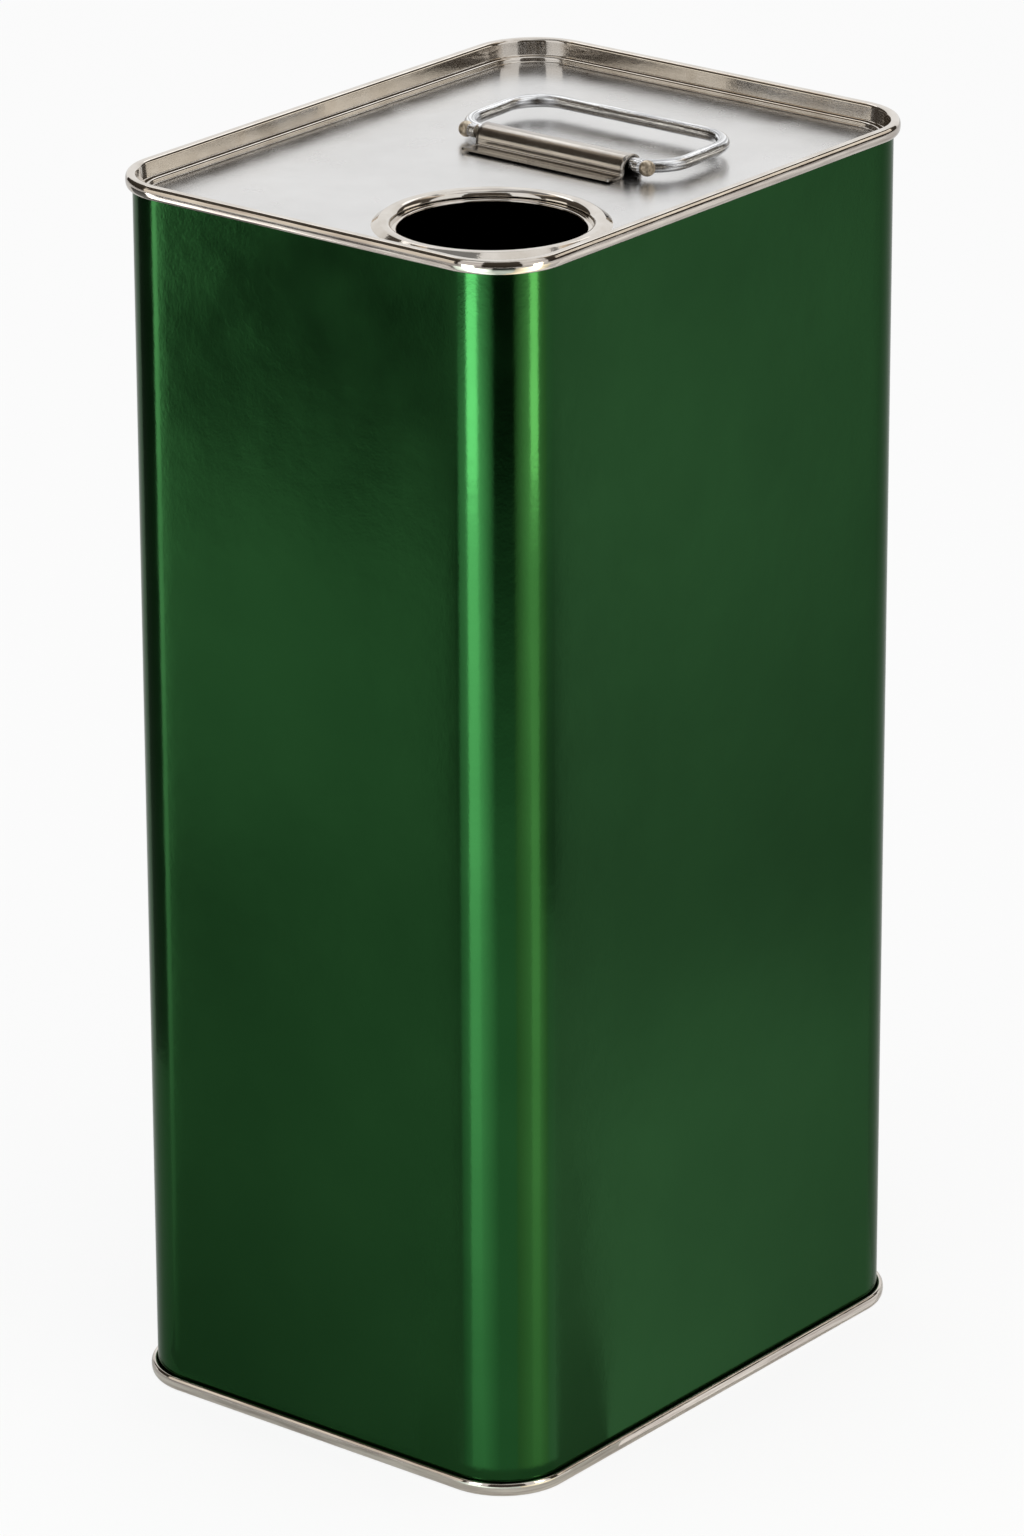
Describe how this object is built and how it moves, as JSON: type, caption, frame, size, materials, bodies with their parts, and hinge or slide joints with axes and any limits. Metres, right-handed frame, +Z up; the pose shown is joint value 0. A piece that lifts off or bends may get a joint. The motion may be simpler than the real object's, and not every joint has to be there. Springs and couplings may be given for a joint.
{
  "type": "oil tin",
  "caption": "Tall rectangular tinplate can with double seamed ends, an open pouring hole with a formed collar and a folding wire bail in a strap.",
  "frame": {"origin": "centre of the footprint, on the surface the tin stands on", "axes": "+Z up, +X across the narrow way towards the pouring hole's side, +Y across the wide way away from the pouring hole"},
  "size_m": [0.121, 0.157, 0.3],
  "materials": {
    "green_lacquer": "translucent dark green lacquer over tinplate, semi gloss",
    "tinplate": "bare tinplate, satin bright",
    "compound": "dull sealing film",
    "strap_steel": "bare folded sheet, satin",
    "bright_wire": "bright drawn wire"
  },
  "bodies": {
    "can": {"body_shell": "green_lacquer", "top_end": "tinplate", "bottom_end": "tinplate", "top_seam_compound": "compound", "bottom_seam_compound": "compound", "handle_strap": "strap_steel"},
    "bail": {"handle_bail": "bright_wire"}
  },
  "joints": [
    {"name": "bail_hinge", "type": "hinge", "parent": "can", "child": "bail", "pos_m": [0.0045, 0.0095, 0.29765], "axis": [1, 0, 0], "range_deg": [-2.5, 175]}
  ]
}
